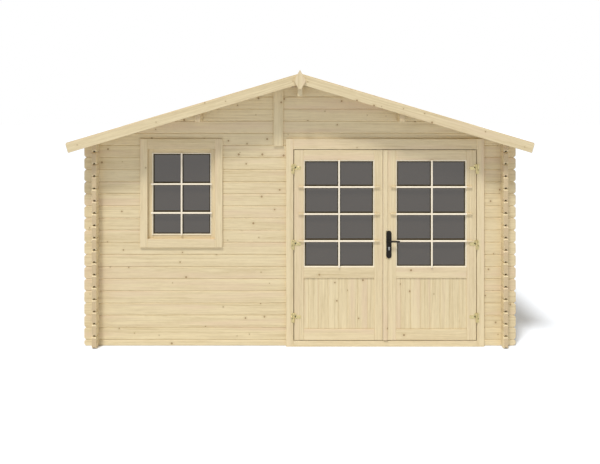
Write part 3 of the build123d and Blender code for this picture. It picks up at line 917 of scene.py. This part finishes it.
def make_door_frame():
    """Posts, head and threshold: a trim over the logs, a lining in the doorway and a stop."""
    head_low, head_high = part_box("door_head")
    sill_low, sill_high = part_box("door_threshold")
    clear = (head_low.x, head_high.x)
    hole = (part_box("front_wall_middle")[1].x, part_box("front_wall_right")[0].x)
    hole_top = front_low.z
    stop_face = head_low.y + STOP_BACK
    for seed, node, end in ((102, "door_post_left", 0), (100, "door_post_right", 1)):
        low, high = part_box(node)
        outside, stop = (low.x, high.x) if end == 0 else (high.x, low.x)
        timbers = Timbers(seed)
        for x, y, top in (
            ((outside, clear[end]), (low.y, WALL_FACE), high.z),
            ((hole[end], clear[end]), (WALL_FACE, stop_face), hole_top),
            ((hole[end], stop), (stop_face, WALL_BACK), hole_top),
            ((outside, stop), (WALL_BACK, high.y), high.z),
        ):
            timbers.board(sorted(x), y, (0, top), UPRIGHT)
        timbers.finish(node + "_boards", joinery_wood, "cabin", node)
    clear_top = head_low.z + DOOR_STOP
    timbers = Timbers(105)
    for y, z in (
        ((head_low.y, WALL_FACE), (clear_top, head_high.z)),
        ((WALL_FACE, stop_face), (clear_top, hole_top)),
        ((stop_face, WALL_BACK), (head_low.z, hole_top)),
        ((WALL_BACK, head_high.y), (head_low.z, head_high.z)),
    ):
        timbers.board(clear, y, z, LEVEL)
    timbers.finish("door_head_boards", joinery_wood, "cabin", "door_head")
    timbers = Timbers(106)
    timbers.board(clear, (sill_low.y, stop_face), (0, sill_high.z - DOOR_STOP), LEVEL)
    timbers.board(clear, (stop_face, sill_high.y), (0, sill_high.z), LEVEL)
    timbers.finish("threshold_timbers", joinery_wood, "cabin", "door_threshold")


# Door leaves
def make_leaf(side, seed, left_ends, right_ends, bar_shift=0.0):
    """One leaf. The ends say how far each cross bar runs past the pane, from the top down."""
    body, leaf = side + "_door", side + "_leaf_"
    x_low, x_high, z_low, z_high = edges_of(leaf + "frame")
    panel, pane = edges_of(leaf + "panel"), edges_of(leaf + "glass")
    leaf_y = depths_of(leaf + "frame")
    face, back = leaf_y
    glazed = grown(pane, LEAF_BEAD_WIDTH, LEAF_BEAD_WIDTH)
    timbers = Timbers(seed)
    for x in ((x_low, glazed[0]), (glazed[1], x_high)):
        timbers.board(x, leaf_y, (z_low, z_high), UPRIGHT)
    for z in ((z_low, panel[2]), (panel[3], glazed[2]), (glazed[3], z_high)):
        timbers.board(glazed[:2], leaf_y, z, LEVEL)
    timbers.finish(leaf + "timbers", joinery_wood, body, leaf + "frame")
    # The beads carry painted highlight in the pale bead wood
    beads = Timbers(seed + 3)
    for pane_y, side_y, inward in zip(depths_of(leaf + "glass"), leaf_y, (1, -1)):
        moulding = [(inset, side_y + inward * depth) for inset, depth in LEAF_BEAD]
        mitred_frame(beads, glazed, [(0, pane_y), *moulding, (LEAF_BEAD_WIDTH, pane_y)])
    beads.finish(leaf + "beads", bead_wood_painted_light, body)
    boards = Timbers(seed + 1)
    joint, width = panel[0], PANEL_FIRST_BOARD
    while joint < panel[1] - SLACK:
        finish = min(joint + width, panel[1])
        boards.board((joint, finish), depths_of(leaf + "panel"), panel[2:], UPRIGHT, PANEL_EDGE)
        joint, width = finish, PANEL_BOARD
    boards.finish(side + "_panel_boards", panel_wood, body, leaf + "panel")
    # The bars over the pane carry painted highlight in the pale bar wood. Their feet over the stiles are
    # joinery wood
    bars, feet = Timbers(seed + 2), Timbers(seed + 4)
    middle = (pane[0] + pane[1]) / 2 + bar_shift
    glazing = grown(pane, LEAF_BAR_ENDS, LEAF_BAR_ENDS)
    for y in ((face - BAR_DEPTH, face), (back, back + BAR_DEPTH)):
        glazing_bars(bars, glazing, middle, LEAF_BARS, y)
        for height, left, right in zip(LEAF_BARS, left_ends, right_ends):
            for x in ((pane[0] - left, glazing[0]), (glazing[1], pane[1] + right)):
                if x[0] < x[1] - SLACK:
                    feet.board(x, y, about(height, BAR_WIDTH), LEVEL, BAR_EDGE)
    bars.finish(leaf + "bars", bar_wood_painted_highlight, body)
    feet.finish(leaf + "bar_feet", joinery_wood, body)
    pane_seal(side + "_pane_seal", body, leaf + "glass", middle, LEAF_BARS)


def make_leaves():
    """The right leaf has no bar end beside the handle, and its upright bar is a little off
    the middle, as in the photo."""
    hinge_end, meeting_end = 0.061, 0.060
    make_leaf("left", 111, [hinge_end] * 3, [meeting_end] * 3)
    make_leaf("right", 121, [meeting_end, meeting_end, LEAF_BAR_ENDS], [hinge_end] * 3, bar_shift=0.004)


def make_meeting_strip():
    """The cover strip on the right leaf, narrower beside the handle's plate."""
    low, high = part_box("meeting_strip")
    plate_low, plate_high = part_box("handle_plates")
    narrow = plate_low.x - STRIP_CLEARANCE
    notch_low, notch_high = plate_low.z - STRIP_CLEARANCE, plate_high.z + STRIP_CLEARANCE

    def ring(z, x_high, inset):
        left, right, face = low.x + inset, x_high - inset, low.y + inset
        flat = [
            (left + STRIP_EDGE, face), (right - STRIP_WIDE_EDGE, face), (right, face + STRIP_WIDE_EDGE),
            (right, high.y), (left, high.y), (left, face + STRIP_EDGE),
        ]
        return set_across(ALONG_Z, z, flat)

    stations = (
        (low.z, high.x, STRIP_EDGE), (low.z + STRIP_EDGE, high.x, 0),
        (notch_low, high.x, 0), (notch_low, narrow, 0),
        (notch_high, narrow, 0), (notch_high, high.x, 0),
        (high.z - STRIP_EDGE, high.x, 0), (high.z, high.x, STRIP_EDGE),
    )
    timbers = Timbers(131)
    timbers.add(loft([ring(*station) for station in stations]), UPRIGHT)
    timbers.finish("meeting_strip_timber", joinery_wood, "right_door", "meeting_strip")


def make_pale_gap_strip():
    """A pale strip on the right leaf's edge that narrows the gap between the leaves. Its pale wood is
    painted light, which lifts the shade that falls in the gap.
    """
    low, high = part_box("right_leaf_frame")
    y = [low.y + depth for depth in PALE_GAP_DEPTHS]
    strip = Timbers(135)
    strip.board((low.x - PALE_GAP_REACH, low.x), y, (low.z, high.z), UPRIGHT, PALE_GAP_EDGE)
    strip.finish("meeting_seal", bead_wood_painted_light, "right_door")


# Metal fittings. The outlines are (x, z) points, drawn in by an inset.
def set_fitting(name, work, surface, body, node):
    material, slot = surface
    piece = mesh_object(name, work, material)
    place(piece, body, slot, node)
    return piece


def add_loft(work, rings):
    points, faces = loft(rings)
    corners = [work.verts.new(point) for point in points]
    for face in faces:
        work.faces.new([corners[index] for index in face])


def round_steps(sides):
    """Angles once round."""
    return [2 * math.pi * index / sides for index in range(sides)]


def arc(x, z, radius, start, turn, steps):
    """Points of an arc about a middle, from a start angle through a turn."""
    angles = [start + turn * index / steps for index in range(steps + 1)]
    return [(x + radius * math.cos(angle), z + radius * math.sin(angle)) for angle in angles]


def add_round_bar(work, start, finish, radius, sides=24, edge=0.0008):
    """A straight round bar between two points, with eased ends."""
    start, finish = Vector(start), Vector(finish)
    along = (finish - start).normalized()
    across = along.orthogonal().normalized()
    other = along.cross(across)
    rings = []
    for middle, size in (
        (start, radius - edge),
        (start + along * edge, radius),
        (finish - along * edge, radius),
        (finish, radius - edge),
    ):
        flat = [(size * math.cos(angle), size * math.sin(angle)) for angle in round_steps(sides)]
        rings.append([middle + (across * a + other * b) for a, b in flat])
    add_loft(work, rings)


def add_plate(work, y_face, y_back, edge, outline, *sizes):
    """A flat plate whose face has a soft edge."""
    direction = 1 if y_back > y_face else -1
    steps = 4
    rings = [set_across(ALONG_Y, y_back, outline(0.0, *sizes))]
    for step in range(steps + 1):
        angle = math.pi / 2 * step / steps
        y = y_face + direction * edge * (1 - math.sin(angle))
        rings.append(set_across(ALONG_Y, y, outline(edge * (1 - math.cos(angle)), *sizes)))
    add_loft(work, rings)


def stadium(inset, x, z, half_width, half_height, steps=16):
    """A long outline with round ends, standing up."""
    radius = half_width - inset
    straight = half_height - half_width
    top = arc(x, z + straight, radius, 0.0, math.pi, steps)
    return top + arc(x, z - straight, radius, math.pi, math.pi, steps)


def rounded_rectangle(inset, x_low, x_high, z_low, z_high, radius, steps=5):
    left, right, bottom, top = x_low + radius, x_high - radius, z_low + radius, z_high - radius
    points = []
    for quarter, (x, z) in enumerate(((right, top), (left, top), (left, bottom), (right, bottom))):
        points += arc(x, z, radius - inset, math.pi / 2 * quarter, math.pi / 2, steps)
    return points


def key_outline(inset, x, z, foot_z, steps=16):
    """The round barrel over its narrow web."""
    radius, half_web = KEY_RADIUS - inset, KEY_WEB_HALF - inset
    start = -math.acos(half_web / radius)
    barrel = arc(x, z, radius, start, math.pi - 2 * start, steps)
    return barrel + arc(x, foot_z, half_web, math.pi, math.pi, steps // 2)


def add_screw(work, x, z, y_face, radius=0.0035):
    """A round head that stands a little proud."""
    proud, sunk, edge, straight = 0.0009, 0.0002, 0.0007, 1e-5
    add_plate(work, y_face - proud, y_face + sunk, edge, stadium, x, z, radius, radius + straight, 8)


def add_hinge_half(work, pin_x, pin_y, out, foot, face, plates, rounds, screws):
    """One half of a hinge on a face. out is the way from the pin to the leaf."""
    front = face - HINGE_THICKNESS
    for near, far, low, high in plates:
        sides = sorted((pin_x + out * near, pin_x + out * far))
        sizes = (*sides, foot + low, foot + high, HINGE_CORNER)
        add_plate(work, front, face, HINGE_EDGE, rounded_rectangle, *sizes)
    for low, high, radius in rounds:
        add_round_bar(work, (pin_x, pin_y, foot + low), (pin_x, pin_y, foot + high), radius)
    for away, rise in screws:
        add_screw(work, pin_x + out * away, foot + rise, front)


def make_hinges():
    face = depths_of("left_leaf_frame")[0]
    low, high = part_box("left_leaf_hinges")
    for side, out in (("left", 1), ("right", -1)):
        pin_x, pin_y, middle = joint_place(side + "_door_hinge")
        heights = (low.z - KNUCKLE_GAP, middle, high.z - KNUCKLE_LENGTH - KNUCKLE_GAP)
        for name, (foot, *parts), body in (
            (side + "_post_hinge", POST_HALF, "cabin"),
            (side + "_leaf_hinge", LEAF_HALF, side + "_door"),
        ):
            work = bmesh.new()
            for height in heights:
                add_hinge_half(work, pin_x, pin_y, out, height + foot, face, *parts)
            set_fitting(name + "_plates", work, brass, body, name + "s")


def make_handle():
    plate_low, plate_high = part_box("handle_plates")
    lever_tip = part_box("lever_handle")[1].x
    key_low, key_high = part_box("lock_cylinder")
    plate_y, lever_y, key_y, leaf_y = (
        depths_of(node) for node in ("handle_plates", "lever_handle", "lock_cylinder", "right_leaf_frame")
    )
    x, _, z = joint_place("handle_turn")
    plate_z = (plate_low.z + plate_high.z) / 2
    sizes = (x, plate_z, (plate_high.x - plate_low.x) / 2, (plate_high.z - plate_low.z) / 2)
    work = bmesh.new()
    for face, back in zip(plate_y, leaf_y):
        add_plate(work, face, back, PLATE_EDGE, stadium, *sizes)
    for screw_z in (plate_high.z - PLATE_SCREW_INSET, plate_low.z + PLATE_SCREW_INSET):
        add_screw(work, x, screw_z, plate_low.y, PLATE_SCREW_RADIUS)
    set_fitting("handle_plate_pair", work, black_metal, "right_door", "handle_plates")
    work = bmesh.new()
    for face, wall, out in zip(lever_y, plate_y, (-1, 1)):
        collar_end = (x, wall + out * COLLAR_DEPTH, z)
        add_round_bar(work, (x, wall, z), collar_end, COLLAR_RADIUS, sides=32, edge=0.002)
        add_grip(work, x, z, wall, face - out * LEVER_HALF_DEPTH, lever_tip, out)
    levers = set_fitting("lever_handle_pair", work, black_metal, "handle", "lever_handle")
    levers.data.shade_smooth()
    work = bmesh.new()
    for face, wall in zip(key_y, plate_y):
        foot_z = key_low.z + KEY_WEB_HALF
        add_plate(work, face, wall, KEY_EDGE, key_outline, x, key_high.z - KEY_RADIUS, foot_z)
    set_fitting("key_cylinder", work, steel, "right_door", "lock_cylinder")


def squarer(value):
    """Turns a circle's sine or cosine into that of a rounded square."""
    return math.copysign(abs(value) ** LEVER_SQUARENESS, value)


def add_grip(work, x, z, wall, y, x_tip, out):
    """The lever: out from its spindle, round a bend and straight on to its tip."""
    stations = [((x, wall, z), LEVER_NECK, LEVER_NECK)]
    bend_steps = 6
    for step in range(bend_steps + 1):
        angle = math.pi / 2 * step / bend_steps
        bend = (x + LEVER_BEND * (1 - math.cos(angle)), y - out * LEVER_BEND * (1 - math.sin(angle)), z)
        high = LEVER_NECK if step == 0 else LEVER_HALF_HEIGHT
        stations.append((bend, high, LEVER_BEND_HALF_DEPTH))
    for share, size in LEVER_TIP:
        grip_x = x + LEVER_BEND + (x_tip - x - LEVER_BEND) * share
        stations.append(((grip_x, y, z), LEVER_HALF_HEIGHT * size, LEVER_HALF_DEPTH * size))
    rings = []
    for index, (middle, high, deep) in enumerate(stations):
        before = stations[max(0, index - 1)][0]
        after = stations[min(len(stations) - 1, index + 1)][0]
        along = (Vector(after) - Vector(before)).normalized()
        side = along.cross(Vector((0, 0, 1))).normalized()
        upright = side.cross(along).normalized()
        ring = []
        for angle in round_steps(LEVER_SIDES):
            across = side * (deep * squarer(math.cos(angle)))
            ring.append(Vector(middle) + across + upright * (high * squarer(math.sin(angle))))
        rings.append(ring)
    add_loft(work, rings)


def make_floor():
    """Boards side by side, on bearers that lie apart."""
    front, back = depths_of("floor_boards")
    boards = round((back - front) / FLOOR_BOARD)
    for seed, name, count, width, edge in (
        (141, "floor_board", boards, (back - front) / boards, FLOOR_EDGE),
        (142, "floor_bearer", BEARERS, BEARER_WIDTH, BOARD_EDGE),
    ):
        x, (first, last), z = spans_of(name + "s")
        step = (last - first - width) / (count - 1)
        timbers = Timbers(seed)
        for index in range(count):
            start = first + step * index
            timbers.board(x, (start, start + width), z, FLAT, edge)
        timbers.finish(name + "_timbers", floor_wood, "cabin", name + "s")


def make_glass():
    for node in ("window_glass", "left_leaf_glass", "right_leaf_glass"):
        pane = frame["nodes"][node]
        pane.data.materials.clear()
        pane.data.materials.append(glass)


# Ground, light and camera
GROUND_HALF = 60.0
GROUND_DROP = 0.0005
GROUND_LIFT = 0.08  # what the camera sees on top of the lit ground, so that it turns white
SKY_STRENGTH = 0.42
SUN_STRENGTH = 2.42
SUN_ANGLE = math.radians(10.0)
SUN_WAY = Vector((0.44, 1.0, -2.15))
PHOTO_WIDTH = 600.0
FOCAL_PIXELS = 746.0
HORIZON_RISE = 131.4  # pixels by which the horizon lies over the photo's middle
EYE = (0.0, -8.43, 2.30)
SENSOR_WIDTH = 36.0


def make_ground():
    """A plain pale ground that turns white where it is lit and keeps the shadow."""
    far = GROUND_HALF
    mesh = bpy.data.meshes.new("ground")
    mesh.from_pydata([(-far, -far, 0), (far, -far, 0), (far, far, 0), (-far, far, 0)], [], [(0, 1, 2, 3)])
    ground = add_object("ground", mesh)
    ground.location.z = -GROUND_DROP
    material, w, shader = new_material("ground_white")
    seen = w.node("ShaderNodeLightPath").outputs
    look = {
        "Base Color": (0.875, 0.91, 0.965, 1),
        "Roughness": 0.9,
        "Specular IOR Level": 0.0,
        "Emission Color": (1, 1, 1, 1),
        "Emission Strength": w.times(seen["Is Camera Ray"], GROUND_LIFT),
    }
    w.fill(shader, look)
    mesh.materials.append(material)


def make_light():
    """A white sky, which lights less than it shows, and one soft sun."""
    world = bpy.data.worlds.new("studio_white")
    scene.world = world
    world.use_nodes = True
    world.node_tree.nodes.clear()
    w = Wiring(world.node_tree)
    seen = w.node("ShaderNodeLightPath").outputs
    direct = w.maths("MAXIMUM", seen["Is Camera Ray"], seen["Is Glossy Ray"])
    direct = w.maths("MAXIMUM", direct, seen["Is Transmission Ray"])
    strength = w.maths("MULTIPLY_ADD", direct, 1.0 - SKY_STRENGTH, SKY_STRENGTH)
    sky = w.fill(w.node("ShaderNodeBackground"), {"Color": (1, 1, 1, 1), "Strength": strength})
    w.fill(w.node("ShaderNodeOutputWorld"), {"Surface": sky.outputs[0]})
    lamp = bpy.data.lights.new("sun", "SUN")
    lamp.energy = SUN_STRENGTH
    lamp.angle = SUN_ANGLE
    sun = add_object("sun", lamp)
    sun.rotation_mode = "QUATERNION"
    sun.rotation_quaternion = SUN_WAY.to_track_quat("-Z", "Y")


def make_camera():
    """A level camera, shifted down as the photo's framing needs."""
    lens = bpy.data.cameras.new("camera")
    lens.sensor_width = SENSOR_WIDTH
    lens.sensor_fit = "HORIZONTAL"
    lens.lens = FOCAL_PIXELS / PHOTO_WIDTH * SENSOR_WIDTH
    lens.shift_y = -HORIZON_RISE / PHOTO_WIDTH
    lens.clip_end = 200.0
    camera = add_object("camera", lens)
    camera.location = EYE
    camera.rotation_euler = (math.pi / 2, 0, 0)
    scene.camera = camera


make_walls()
make_roof()
make_purlins()
make_finials()
make_cover_board()
make_window()
make_door_frame()
make_leaves()
make_meeting_strip()
make_pale_gap_strip()
make_hinges()
make_handle()
make_floor()
make_glass()
make_ground()
make_light()
make_camera()
scene.view_settings.view_transform = "Standard"
